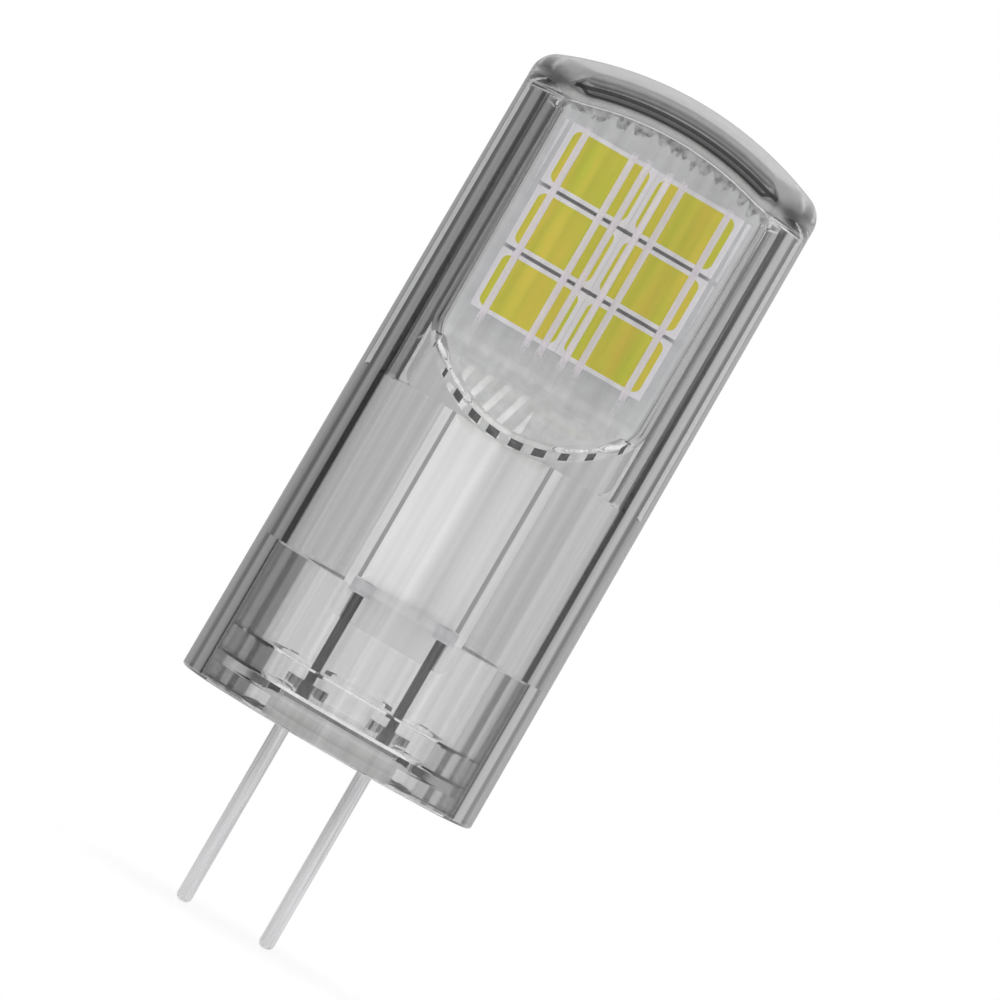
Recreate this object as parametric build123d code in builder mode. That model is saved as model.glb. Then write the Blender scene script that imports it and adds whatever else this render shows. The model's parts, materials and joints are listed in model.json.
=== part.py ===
"""Two-pin LED capsule lamp: clear capsule, LED board, driver parts, base plug and contact pins.

Millimetres, +Z up towards the crown. The origin is the centre of the base's seating face, X runs
through the two contact pins and the LED windows face -Y and +Y.
"""
import os

from build123d import *
from math import acos, degrees, radians, sqrt, tan

os.makedirs("parts", exist_ok=True)

# Contact pins
pin_spacing = 4.0
pin_diameter = 0.7
pin_reach = 8.65
pin_tip_rounding = 0.25
pin_neck_diameter = 0.6
pin_neck_drop = 0.15
pin_shoulder_height = 2.0
pin_tail_diameter = 0.45
pin_clearance = 0.02

# Capsule shell, outside
body_diameter = 14.0
body_length = 31.35
body_draft = 0.3
crown_radius = 16.0
crown_edge_rounding = 0.65
base_edge_chamfer = 0.15
window_offset = 5.0
window_height = 13.95
ramp_rise = 1.22
window_edge_chamfer = 0.3
cut_margin = 1.0

# Capsule shell, inside
crown_wall = 1.6
side_wall = 1.25
window_wall = 1.4
guide_rail_width = 0.4
plug_bore_wall = 0.9
plug_bore_height = 6.6
window_rib_width = 0.3
window_rib_offsets = (0.52, 1.2, 3.41)
window_rib_height = 10.7

# Base plug
plug_clearance = 0.05
plug_skirt_wall = 1.4
plug_skirt_gap = 0.1
plug_ledge_height = 2.67
plug_ledge_width = 0.7
plug_floor_wall = 0.3
pin_collar_wall = 0.68
pocket_radius = 2.9
pocket_rim_depth = 0.35
pocket_depth = 1.0
pocket_slope_width = 0.8
groove_inner_radius = 3.1
groove_outer_radius = 4.1
groove_depth = 0.85

# Circuit board
board_thickness = 1.0
board_edge_gap = 0.73
board_rail_clearance = 0.05
board_rail_overlap = 0.35
board_head_height = 16.45
board_crown_gap = 0.25
board_head_rounding = 0.6
tongue_width = 5.7
tongue_foot = 5.0
tongue_corner_rounding = 0.5
pin_slot_top = 6.5
pin_slot_clearance = 0.03

# LED packages
led_columns = 2
led_rows = 3
led_column_gap = 0.1
led_edge_gap = 0.95
led_row_pitch = 2.98
led_centre_depth = 7.82
led_height = 2.82
led_thickness = 0.75
led_side_wall = 0.17
led_end_wall = 0.19
phosphor_corner_chamfer = 0.3
phosphor_depth = 0.5
phosphor_recess = 0.04

# Driver covers
cover_width = 4.4
cover_window_gap = 2.5
cover_reach = 2.3
cover_wall = 0.4
cover_rounding = 0.5

# Driver parts on the board's faces: size across, size out, share of the covers' inside length
bridge_size = (3.0, 1.4, 0.36)
chip_size = (2.9, 1.3, 0.35)
capacitor_size = (3.0, 1.5, 0.16)
inductor_size = (2.6, 1.5, 0.31)
inductor_core_rounding = 0.5
small_chip_size = (1.0, 0.5, 0.2)
small_chip_spacing = 1.5
block_edge_chamfer = 0.12

# Solder joints
solder_overlap = 0.25
solder_height = 0.6
solder_width = 1.0
solder_reach = 0.45
solder_chamfer = 0.2
solder_cover_gap = 0.05

# Worked out from the sizes above
body_radius = body_diameter / 2
pin_x = pin_spacing / 2
pin_radius = pin_diameter / 2
neck_radius = pin_neck_diameter / 2
tail_radius = pin_tail_diameter / 2
board_face = board_thickness / 2
bore_radius = body_radius - side_wall
plug_bore_radius = body_radius - plug_bore_wall
plug_radius = plug_bore_radius - plug_clearance
plug_top = plug_bore_height - plug_skirt_gap
tail_top = pin_slot_top - pin_slot_clearance
solder_foot = pin_slot_top - solder_overlap
solder_top = solder_foot + solder_height
skirt_inner_radius = plug_radius - plug_skirt_wall
ledge_inner_radius = skirt_inner_radius - plug_ledge_width
plug_floor_height = pocket_depth + plug_floor_wall
pin_bore_radius = neck_radius + pin_clearance
crown_centre = body_length - crown_radius
window_foot_height = body_length - window_height
window_cut_reach = body_radius + cut_margin
window_bore_depth = window_offset - window_wall
ramp_wall_drop = window_wall * sqrt(1 + ramp_rise**2) - window_wall * ramp_rise
inner_foot_height = window_foot_height - ramp_wall_drop
board_head_foot = body_length - board_head_height
board_head_width = 2 * (sqrt(bore_radius**2 - board_face**2) - board_edge_gap)
rail_inner_edge = board_head_width / 2 - board_rail_overlap
rail_centre_offset = board_face + board_rail_clearance + guide_rail_width / 2
inner_crown_radius = crown_radius - crown_wall
board_crown_radius = inner_crown_radius - board_crown_gap
led_centre_height = body_length - led_centre_depth
led_width = (board_head_width - 2 * led_edge_gap - led_column_gap) / led_columns
led_column_pitch = led_width + led_column_gap
phosphor_width = led_width - 2 * led_side_wall
phosphor_height = led_height - 2 * led_end_wall
cover_foot = solder_top + solder_cover_gap
cover_top = window_foot_height - cover_window_gap
bay_length = cover_top - cover_foot - 2 * cover_wall
sides = {"front": -1, "back": 1}


def drafted_radius(height):
    """Outer radius of the capsule's tapered side at a height."""
    return body_radius - height * tan(radians(body_draft))


def face_plane(side, x, z, lift=0.0):
    """Plane on one face of the board, looking outwards, with its Y up."""
    y = side * (board_face + lift)
    return Plane(origin=(x, y, z), x_dir=(-side, 0, 0), z_dir=(0, side, 0))


def window_blocks(offset, foot_height, reach):
    """Side view of what lies beyond the windows: upright faces over outward ramps, both sides."""
    with BuildSketch() as blocks:
        with BuildLine():
            Polyline(
                (offset, body_length + cut_margin),
                (offset, foot_height),
                (reach, foot_height - ramp_rise * (reach - offset)),
                (reach, body_length + cut_margin),
                close=True,
            )
        make_face()
        mirror(about=Plane.YZ)
    return blocks.sketch


def crown_profile(radius, foot_radius, edge_radius):
    """Half section under a crown of a given radius, standing on the base and closed on the axis."""
    edge_height = crown_centre + sqrt(radius**2 - edge_radius**2)
    edge_angle = degrees(acos(edge_radius / radius))
    with BuildSketch(Plane.XZ) as profile:
        with BuildLine():
            Line((0, 0), (foot_radius, 0))
            Line((foot_radius, 0), (edge_radius, edge_height))
            CenterArc((0, crown_centre), radius, edge_angle, 90 - edge_angle)
            Line((0, crown_centre + radius), (0, 0))
        make_face()
    return profile.sketch


def crown_trim(radius):
    """Solid under a crown of a given radius, which trims what lies inside the capsule."""
    with BuildPart(mode=Mode.PRIVATE) as trim:
        add(crown_profile(radius, body_radius, body_radius))
        revolve(axis=Axis.Z)
    return trim.part


# Outer form of the capsule: a drafted cylinder under a domed crown
corner_radius = drafted_radius(crown_centre + sqrt(crown_radius**2 - body_radius**2))
corner_angle = degrees(acos(corner_radius / crown_radius))
corner_height = crown_centre + sqrt(crown_radius**2 - corner_radius**2)
with BuildPart() as capsule_form:
    with BuildSketch(Plane.XZ) as half_profile:
        with BuildLine():
            Line((0, 0), (body_radius, 0))
            Line((body_radius, 0), (corner_radius, corner_height))
            CenterArc((0, crown_centre), crown_radius, corner_angle, 90 - corner_angle)
            Line((0, body_length), (0, 0))
        make_face()
        fillet(half_profile.vertices().sort_by_distance((corner_radius, corner_height, 0))[0],
               radius=crown_edge_rounding)
        chamfer(half_profile.vertices().sort_by_distance((body_radius, 0, 0))[0],
                length=base_edge_chamfer)
    revolve(axis=Axis.Z)

    # Window flats with ramps at their feet, cut from the front and the back
    with BuildSketch(Plane.YZ):
        add(window_blocks(window_offset, window_foot_height, window_cut_reach))
    extrude(amount=body_radius, both=True, mode=Mode.SUBTRACT)
    window_faces = capsule_form.faces().filter_by(Axis.Y)
    window_rims = [face.edges().sort_by(Axis.Z)[1:] for face in window_faces]
    chamfer(window_rims[0] + window_rims[1], length=window_edge_chamfer)

# Bore for the board: round below, with flats and ramps that follow the windows above
with BuildPart() as board_bore:
    with BuildSketch(Plane.XY.offset(plug_bore_height)):
        Circle(bore_radius)
    extrude(amount=body_length - plug_bore_height)
    with BuildSketch(Plane.YZ):
        add(window_blocks(window_bore_depth, inner_foot_height, body_radius))
    extrude(amount=body_radius, both=True, mode=Mode.SUBTRACT)

    # Pairs of rails that hold the board's edges
    with BuildSketch(Plane.XY.offset(board_head_foot)):
        for across in (-1, 1):
            for side in sides.values():
                with Locations((across * rail_inner_edge, side * rail_centre_offset)):
                    Rectangle(bore_radius - rail_inner_edge, guide_rail_width,
                              align=(Align.MIN if across > 0 else Align.MAX, Align.CENTER))
    extrude(amount=body_length - board_head_foot, mode=Mode.SUBTRACT)
    add(crown_trim(inner_crown_radius), mode=Mode.INTERSECT)

# Lengthwise ribs on the inner face of each window
with BuildPart() as window_ribs:
    rib_places = [
        (sign * offset, side * window_bore_depth)
        for offset in window_rib_offsets
        for sign in (-1, 1)
        for side in sides.values()
    ]
    with BuildSketch(Plane.XY.offset(window_foot_height)):
        with Locations(*rib_places):
            RegularPolygon(window_rib_width / 2, 4)
    extrude(amount=window_rib_height)

with BuildPart() as capsule_shell:
    add(capsule_form.part)
    add(board_bore.part, mode=Mode.SUBTRACT)
    with BuildSketch():
        Circle(plug_bore_radius)
    extrude(amount=plug_bore_height, mode=Mode.SUBTRACT)
    add(window_ribs.part)

capsule_shell.part.label = "capsule_shell"
export_step(capsule_shell.part, "parts/capsule_shell.step")


# Base plug: skirt with a ledge, floor with pin collars, sealant pocket and relief groove underneath
def pocket_profile():
    """Half section of the pocket with its sloping shoulder, closed on the axis."""
    with BuildSketch(Plane.XZ) as profile:
        with BuildLine():
            Polyline(
                (0, 0),
                (pocket_radius, 0),
                (pocket_radius, pocket_rim_depth),
                (pocket_radius - pocket_slope_width, pocket_depth),
                (0, pocket_depth),
                close=True,
            )
        make_face()
    return profile.sketch


with BuildPart() as base_plug:
    with BuildSketch(Plane.XZ):
        with BuildLine():
            Polyline(
                (0, 0),
                (plug_radius, 0),
                (plug_radius, plug_top),
                (skirt_inner_radius, plug_top),
                (skirt_inner_radius, plug_ledge_height),
                (ledge_inner_radius, plug_ledge_height),
                (ledge_inner_radius, plug_floor_height),
                (0, plug_floor_height),
                close=True,
            )
        make_face()
    revolve(axis=Axis.Z)
    add(pocket_profile())
    revolve(axis=Axis.Z, mode=Mode.SUBTRACT)
    with BuildSketch():
        Circle(groove_outer_radius)
        Circle(groove_inner_radius, mode=Mode.SUBTRACT)
    extrude(amount=groove_depth, mode=Mode.SUBTRACT)
    with BuildSketch(Plane.XY.offset(plug_floor_height)):
        with GridLocations(pin_spacing, 0, 2, 1):
            Circle(pin_bore_radius + pin_collar_wall)
    extrude(amount=pin_shoulder_height - plug_floor_height)
    with BuildSketch():
        with GridLocations(pin_spacing, 0, 2, 1):
            Circle(pin_bore_radius)
    extrude(amount=pin_shoulder_height, mode=Mode.SUBTRACT)

base_plug.part.label = "base_plug"
export_step(base_plug.part, "parts/base_plug.step")

# Sealing compound that fills the pocket round the pins
with BuildPart() as base_sealant:
    add(pocket_profile())
    revolve(axis=Axis.Z)
    with BuildSketch():
        with GridLocations(pin_spacing, 0, 2, 1):
            Circle(pin_radius)
    extrude(amount=pocket_depth, mode=Mode.SUBTRACT)

base_sealant.part.label = "base_sealant"
export_step(base_sealant.part, "parts/base_sealant.step")

# Contact pins: rounded tips outside, a neck in the sealant and slimmer tails inside
for name, place in (("left", -pin_x), ("right", pin_x)):
    with BuildPart() as contact_pin:
        with BuildSketch(Plane.XY.offset(-pin_reach)):
            with Locations((place, 0)):
                Circle(pin_radius)
        extrude(amount=pin_reach - pin_neck_drop)
        fillet(contact_pin.edges().group_by(Axis.Z)[0], radius=pin_tip_rounding)
        with BuildSketch(Plane.XY.offset(-pin_neck_drop)):
            with Locations((place, 0)):
                Circle(neck_radius)
        extrude(amount=pin_shoulder_height + pin_neck_drop)
        with BuildSketch(Plane.XY.offset(pin_shoulder_height)):
            with Locations((place, 0)):
                Circle(tail_radius)
        extrude(amount=tail_top - pin_shoulder_height)
    contact_pin.part.label = f"contact_pin_{name}"
    export_step(contact_pin.part, f"parts/contact_pin_{name}.step")

# Circuit board: arched head for the LEDs, tongue with two pin slots
with BuildPart() as circuit_board:
    with BuildSketch(Plane.XZ):
        with Locations((0, board_head_foot)):
            RectangleRounded(board_head_width, board_head_height, board_head_rounding,
                             align=(Align.CENTER, Align.MIN))
        with Locations((0, tongue_foot)):
            RectangleRounded(tongue_width, body_length - tongue_foot, tongue_corner_rounding,
                             align=(Align.CENTER, Align.MIN))
        with Locations((0, crown_centre)):
            Circle(board_crown_radius, mode=Mode.INTERSECT)
        for place in (-pin_x, pin_x):
            with Locations((place, tongue_foot)):
                Rectangle(2 * (tail_radius + pin_slot_clearance), pin_slot_top - tongue_foot,
                          align=(Align.CENTER, Align.MIN), mode=Mode.SUBTRACT)
    extrude(amount=board_face, both=True)

circuit_board.part.label = "circuit_board"
export_step(circuit_board.part, "parts/circuit_board.step")


def phosphor_window():
    """Outline of a package's open window, with its corners cut off."""
    with BuildSketch() as window:
        Rectangle(phosphor_width, phosphor_height)
        chamfer(window.vertices(), length=phosphor_corner_chamfer)
    return window.sketch


# LED packages in rows on both faces, each a white moulded tray with its phosphor fill
for side_name, side in sides.items():
    for row in range(led_rows):
        for column in range(led_columns):
            x = (column - (led_columns - 1) / 2) * led_column_pitch
            z = led_centre_height - (row - (led_rows - 1) / 2) * led_row_pitch
            tag = f"{side_name}_{row + 1}_{column + 1}"
            with BuildPart() as led_package:
                with BuildSketch(face_plane(side, x, z)):
                    Rectangle(led_width, led_height)
                extrude(amount=led_thickness)
                with BuildSketch(face_plane(side, x, z, led_thickness)):
                    add(phosphor_window())
                extrude(amount=-phosphor_depth, mode=Mode.SUBTRACT)
            led_package.part.label = f"led_package_{tag}"
            export_step(led_package.part, f"parts/led_package_{tag}.step")

            with BuildPart() as led_phosphor:
                with BuildSketch(face_plane(side, x, z, led_thickness - phosphor_depth)):
                    add(phosphor_window())
                extrude(amount=phosphor_depth - phosphor_recess)
            led_phosphor.part.label = f"led_phosphor_{tag}"
            export_step(led_phosphor.part, f"parts/led_phosphor_{tag}.step")

# Covers over the driver parts, hollow boxes open towards the board
cover_height = cover_top - cover_foot
cover_centre_height = (cover_top + cover_foot) / 2
for side_name, side in sides.items():
    with BuildPart() as driver_cover:
        with BuildSketch(face_plane(side, 0, cover_centre_height)):
            Rectangle(cover_width, cover_height)
        extrude(amount=cover_reach)
        outer_edges = driver_cover.faces().sort_by(Axis.Y)[0 if side < 0 else -1].edges()
        fillet(outer_edges, radius=cover_rounding)
        with BuildSketch(face_plane(side, 0, cover_centre_height)):
            Rectangle(cover_width - 2 * cover_wall, cover_height - 2 * cover_wall)
        extrude(amount=cover_reach - cover_wall, mode=Mode.SUBTRACT)
    driver_cover.part.label = f"driver_cover_{side_name}"
    export_step(driver_cover.part, f"parts/driver_cover_{side_name}.step")


def block_on_board(name, side, x, z, size, rounding=0.0):
    """Moulded block on one face of the board, under a cover."""
    across, out, share = size
    along = share * bay_length
    with BuildPart() as block:
        with BuildSketch(face_plane(side, x, z)):
            if rounding:
                RectangleRounded(across, along, rounding)
            else:
                Rectangle(across, along)
        extrude(amount=out)
        top = block.faces().sort_by(Axis.Y)[0 if side < 0 else -1]
        chamfer(top.edges(), length=block_edge_chamfer)
    block.part.label = name
    export_step(block.part, f"parts/{name}.step")


def spaced_heights(*sizes):
    """Centre heights of blocks spaced evenly along the covers' inside, from the lowest up."""
    gap = bay_length * (1 - sum(share for _, _, share in sizes)) / (len(sizes) + 1)
    heights = []
    foot = cover_foot + cover_wall
    for _, _, share in sizes:
        heights.append(foot + gap + share * bay_length / 2)
        foot += gap + share * bay_length
    return heights


bridge_height, chip_height = spaced_heights(bridge_size, chip_size)
block_on_board("bridge_rectifier", sides["front"], 0, bridge_height, bridge_size)
block_on_board("driver_chip", sides["front"], 0, chip_height, chip_size)

back_sizes = (inductor_size, small_chip_size, capacitor_size)
inductor_height, small_chip_height, capacitor_height = spaced_heights(*back_sizes)
block_on_board("power_inductor", sides["back"], 0, inductor_height, inductor_size,
               inductor_core_rounding)
block_on_board("smoothing_capacitor", sides["back"], 0, capacitor_height, capacitor_size)
for name, place in (("sense_resistor_1", -1), ("sense_resistor_2", 1)):
    block_on_board(name, sides["back"], place * small_chip_spacing / 2, small_chip_height,
                   small_chip_size)

# Solder joints that bridge each tail's end to the board, on both faces
for name, place in (("left", -pin_x), ("right", pin_x)):
    with BuildPart() as solder_joint:
        with BuildSketch(Plane.XY.offset(solder_foot)) as joint_outline:
            with Locations((place, 0)):
                Rectangle(solder_width, board_thickness + 2 * solder_reach)
            chamfer(joint_outline.vertices(), length=solder_chamfer)
            Rectangle(body_diameter, board_thickness, mode=Mode.SUBTRACT)
        extrude(amount=solder_height)
    solder_joint.part.label = f"solder_joint_{name}"
    export_step(solder_joint.part, f"parts/solder_joint_{name}.step")
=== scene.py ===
"""Looks of a two-pin LED capsule lamp: clear capsule, LED board, base plug and contact pins."""
import json
import math

import bmesh
import bpy
import numpy as np
from mathutils import Matrix, Vector

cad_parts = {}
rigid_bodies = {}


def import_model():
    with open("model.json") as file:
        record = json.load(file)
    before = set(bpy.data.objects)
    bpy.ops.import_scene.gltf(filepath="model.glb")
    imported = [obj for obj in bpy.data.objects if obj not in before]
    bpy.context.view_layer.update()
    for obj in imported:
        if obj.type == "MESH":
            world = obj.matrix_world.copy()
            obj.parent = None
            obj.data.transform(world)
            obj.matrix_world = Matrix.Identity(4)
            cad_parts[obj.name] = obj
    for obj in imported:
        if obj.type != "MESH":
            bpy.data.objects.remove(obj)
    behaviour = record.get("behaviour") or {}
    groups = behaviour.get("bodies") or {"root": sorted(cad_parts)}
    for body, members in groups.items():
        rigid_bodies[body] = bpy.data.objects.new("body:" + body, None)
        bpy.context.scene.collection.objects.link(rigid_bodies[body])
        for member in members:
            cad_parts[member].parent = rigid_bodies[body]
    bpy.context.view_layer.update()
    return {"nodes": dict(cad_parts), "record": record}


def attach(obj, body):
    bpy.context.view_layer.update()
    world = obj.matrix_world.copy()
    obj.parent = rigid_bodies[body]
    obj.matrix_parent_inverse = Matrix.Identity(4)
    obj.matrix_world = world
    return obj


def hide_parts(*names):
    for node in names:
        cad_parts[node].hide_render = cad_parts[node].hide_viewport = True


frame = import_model()

MM = 0.001
# Times that the search for a surface halves its reach
HALVINGS = 44

# Capsule, outside
BODY_RADIUS = 7.0 * MM
BODY_LENGTH = 31.35 * MM
BODY_DRAFT = math.radians(0.3)
BASE_EDGE = 0.15 * MM
CROWN_RADIUS = 16.0 * MM
CROWN_EDGE = 0.65 * MM
WINDOW_OFFSET = 5.0 * MM
WINDOW_FOOT = 17.4 * MM
WINDOW_EDGE = 0.35 * MM
WINDOW_CROWN_EDGE = 0.45 * MM
RAMP_RISE = 1.22
RAMP_EDGE = 0.12 * MM
FOOT_EASE = 0.4 * MM

# Capsule, inside
CROWN_WALL = 1.6 * MM
WINDOW_WALL = 1.4 * MM
BORE_RADIUS = 5.75 * MM
BORE_EDGE = 0.12 * MM
PLUG_BORE_RADIUS = 6.1 * MM
PLUG_BORE_HEIGHT = 6.6 * MM
RIB_PLACES = (0.52 * MM, 1.2 * MM, 3.41 * MM)
RIB_HALF_WIDTH = 0.15 * MM
RIB_RISE = 0.1 * MM
RIB_GAP = 0.01 * MM
RIB_TOP = 28.1 * MM
RAIL_INNER_EDGE = 4.65 * MM
RAIL_CENTRE = 0.75 * MM
RAIL_HALF_WIDTH = 0.2 * MM
RAIL_FOOT = 14.9 * MM

CROWN_CENTRE = BODY_LENGTH - CROWN_RADIUS
INNER_CROWN_RADIUS = CROWN_RADIUS - CROWN_WALL
BORE_WINDOW_OFFSET = WINDOW_OFFSET - WINDOW_WALL
INNER_FOOT_EASE = 0.3 * MM
RAMP_SLANT = math.sqrt(1 + RAMP_RISE**2)
INNER_FOOT = WINDOW_FOOT + 0.1 * MM

# Painted shade on the capsule: dark dashes down the ramps' edges, a dark line and a ragged mottled frill
# under the crown, and dark strips at the foot
SHADE_BLACK = (0.02, 0.02, 0.02)
DASH_THICKNESS = 0.3 * MM
DASH_RIM = 0.14 * MM
DASH_PITCH = 0.98 * MM
DASH_SHIFT = 0.58
DASH_TAPER = 0.3
ARC_DEPTH = 0.57 * MM
ARC_THICKNESS = 0.08 * MM
ARC_REACH = 4.85 * MM
FRILL_HEIGHT = 0.8 * MM
FRILL_REACH = 4.6 * MM
FRILL_ROUGHNESS = 0.3
STRIP_WIDTH = 1.3 * MM
STRIP_HEIGHT = 0.12 * MM
CLEAR_ROUGHNESS = 0.02
CROWN_ROUGHNESS = 0.2
INNER_CROWN_ROUGHNESS = 0.16
# Depths under the bore's crown, negative in the wall above it, between which the softness ends
CROWN_FADE = (-1.3 * MM, -1.0 * MM)
# Depth within which a point counts as lying on a surface
SKIN = 0.1 * MM

# Driver cover and board
COVER_HALF_WIDTH = 2.2 * MM
COVER_FOOT = 6.9 * MM
# Width of the board's painted shadow beside each cover, then the pitch, slant, centre and half width of
# its painted highlights (gleams)
COVER_SHADE = 0.25 * MM
GLEAM_PITCH = 0.85 * MM
GLEAM_SLANT = 0.3
GLEAM_CENTRE = -1.5 * MM
GLEAM_HALF_WIDTH = 2.0 * MM

# Base plug and sealant
PLUG_RADIUS = 6.05 * MM
PLUG_TOP = 6.5 * MM
SKIRT_RADIUS = 4.65 * MM
PLUG_LEDGE = 2.67 * MM
LEDGE_RADIUS = 3.95 * MM
PLUG_FLOOR = 1.3 * MM
PLUG_CORNER = 0.15 * MM
LEDGE_EDGE = 0.12 * MM
# Dashes of painted dark shade on the ledge, each by its place off the middle and its half width
LEDGE_DASHES = ((4.2 * MM, 0.3 * MM), (1.62 * MM, 0.18 * MM))
GROOVE_OUTER = 4.1 * MM
GROOVE_INNER = 3.1 * MM
GROOVE_DEPTH = 0.85 * MM
POCKET_RADIUS = 2.9 * MM
POCKET_RIM = 0.35 * MM
POCKET_DEPTH = 1.0 * MM
POCKET_SLOPE = 0.8 * MM
COLLAR_RADIUS = 1.0 * MM
COLLAR_TOP = 2.0 * MM
COLLAR_BITE = 0.1 * MM
SEALANT_BITE = 0.01 * MM

# Contact pins
PIN_X = 2.0 * MM
PIN_RADIUS = 0.35 * MM
PIN_REACH = 8.65 * MM
TAIL_RADIUS = 0.225 * MM
NECK_RADIUS = 0.3 * MM
TAIL_TOP = 6.47 * MM
PIN_CLEARANCE = 0.02 * MM
PIN_TIP = 0.25 * MM
PIN_NECK_DROP = 0.15 * MM

# LED packages
LED_WIDTH = 4.09 * MM
LED_HEIGHT = 2.82 * MM
LED_THICKNESS = 0.75 * MM
LED_COLUMN_PITCH = 4.1 * MM
LED_ROW_PITCH = 2.98 * MM
LED_CENTRE_HEIGHT = 23.53 * MM
LED_FOOT = 19.15 * MM
BOARD_FACE = 0.5 * MM
LED_CORNER = 0.06 * MM
TRAY_WIDTH = 3.66 * MM
TRAY_HEIGHT = 2.44 * MM
TRAY_CORNER = 0.35 * MM
TRAY_SLOPE = 0.12 * MM
TRAY_FLOOR_CORNER = 0.25 * MM
PHOSPHOR_DEPTH = 0.5 * MM
PHOSPHOR_RECESS = 0.04 * MM
# The phosphor climbs to the tray's lip within this distance of it
PHOSPHOR_CLIMB = 0.3 * MM
PHOSPHOR_CORNER = 0.2 * MM

# Surroundings, as a tent of panels. Each is given by the degrees between it and straight before or
# behind the lamp, and by its brightness. The walls are for light that turned inside the plastic, and
# the sheen is for light that glances off its outside.
TENT_WALLS = [(0, 0.1), (3, 0.2), (8, 0.3), (13, 0.2), (19, 0.2), (23.5, 0.02), (28.5, 0.02),
              (32.5, 0.45), (38, 0.5), (44, 0.42), (46.5, 0.01), (54, 0.01), (57.6, 0.4), (90, 0.5)]
TENT_SHEEN = [(0, 0.6), (12, 0.6), (25, 0.8), (50, 0.7), (58, 0.15), (72, 0.15), (80, 0.8), (90, 0.9)]
# Brightness above and below the panels, by how far up or down a direction points
TENT_LIDS = [(0, 0.36), (0.3, 0.85), (0.6, 1.0), (1.0, 0.9)]
# How steeply, and how softly, the lids take over from the panels
TENT_LID_RISE = 4.0
TENT_LID_BLEND = 0.3
# How much brighter the tent gets towards the right, and darker towards the left
TENT_SLANT = 0.45
# Level for light that went straight through the capsule, and through the plug's cavity as well
TENT_BACK = 0.64
TENT_CAVITY = 1.0
# Surfaces that light crosses on its way straight through the capsule
CAPSULE_CROSSINGS = 4.0
# Even light on the dull surfaces
TENT_LIGHT = 1.12

# The photograph's framing: the lamp leans by an angle, and the square picture is this wide
PHOTO_LEAN = math.radians(30.13)
PHOTO_WIDTH = 42.12 * MM
PHOTO_CENTRE = Vector((1.13 * MM, 0.0, 12.66 * MM))
LENS = 300.0
SENSOR = 36.0

# Floor
FLOOR_RADIUS = 120.0 * MM
FLOOR_GAP = 0.02 * MM
# Share of the floor's own white near the lamp, which thins the shadow
FLOOR_WHITE = 0.6
# Where that share starts to rise, and where it reaches 1
FLOOR_FADE = (5 * MM, 30 * MM)


def rounded_inside(a, b, rounding):
    """Signed distance to two walls taken together, with the edge between them rounded."""
    beyond = np.hypot(np.maximum(a + rounding, 0), np.maximum(b + rounding, 0))
    return beyond - rounding + np.minimum(np.maximum(a, b) + rounding, 0)


def window_wall(y, z, offset, foot, edge):
    """Signed distance to a window's flat above its foot and to its ramp below."""
    flat = np.abs(y) - offset
    ramp = (z - foot + RAMP_RISE * (np.abs(y) - offset)) / RAMP_SLANT
    return -rounded_inside(-flat, -ramp, edge)


def under_crown(x, y, z, radius):
    """Signed distance to a crown of a given radius, which ends at its centre's height."""
    return np.sqrt(x**2 + y**2 + np.maximum(z - CROWN_CENTRE, 0) ** 2) - radius


def capsule_outside(x, y, z):
    """Signed distance to the capsule's outer surface."""
    side = np.hypot(x, y) - (BODY_RADIUS - z * math.tan(BODY_DRAFT))
    crown = under_crown(x, y, z, CROWN_RADIUS)
    window = window_wall(y, z, WINDOW_OFFSET, WINDOW_FOOT, FOOT_EASE)
    shoulder = rounded_inside(side, crown, CROWN_EDGE)
    jamb = rounded_inside(side, window, np.where(z > WINDOW_FOOT, WINDOW_EDGE, RAMP_EDGE))
    lintel = rounded_inside(crown, window, WINDOW_CROWN_EDGE)
    return np.maximum(np.maximum(shoulder, jamb), lintel)


def capsule_inside(x, y, z):
    """Signed distance to the bore's surface, with its board rails."""
    side = np.hypot(x, y) - BORE_RADIUS
    crown = under_crown(x, y, z, INNER_CROWN_RADIUS)
    window = window_wall(y, z, BORE_WINDOW_OFFSET, INNER_FOOT, INNER_FOOT_EASE)
    bore = rounded_inside(rounded_inside(side, crown, BORE_EDGE), window, BORE_EDGE)
    rail = np.maximum(RAIL_INNER_EDGE - np.abs(x), np.abs(np.abs(y) - RAIL_CENTRE) - RAIL_HALF_WIDTH)
    return np.where(z > RAIL_FOOT, np.maximum(bore, -rail), bore)


def surface_row(distance, height, elevation, azimuths):
    """Points where rays from the axis meet a surface, one for each azimuth."""
    across = math.cos(elevation)
    dx, dy = across * np.cos(azimuths), across * np.sin(azimuths)
    dz = math.sin(elevation)
    near = np.zeros_like(azimuths)
    far = np.full_like(azimuths, BODY_LENGTH)
    for _ in range(HALVINGS):
        middle = (near + far) / 2
        inside = distance(middle * dx, middle * dy, height + middle * dz) < 0
        near = np.where(inside, middle, near)
        far = np.where(inside, far, middle)
    return np.stack([near * dx, near * dy, height + near * dz], axis=1)


def ring_row(radius, height, azimuths):
    """A plain circle of points."""
    return np.stack([radius * np.cos(azimuths), radius * np.sin(azimuths),
                     np.full_like(azimuths, height)], axis=1)


def spread(*stretches):
    """Values along several stretches, each (start, end, steps), without repeats."""
    parts = [np.linspace(a, b, n, endpoint=False) for a, b, n in stretches]
    return np.concatenate(parts + [np.array([stretches[-1][1]])])


def quadrant_azimuths(quarter):
    """Mirrors the azimuths of the first quarter round the whole circle."""
    half = np.concatenate([quarter, math.pi - quarter[-2::-1]])
    return np.concatenate([half, half[1:-1] + math.pi])


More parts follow.
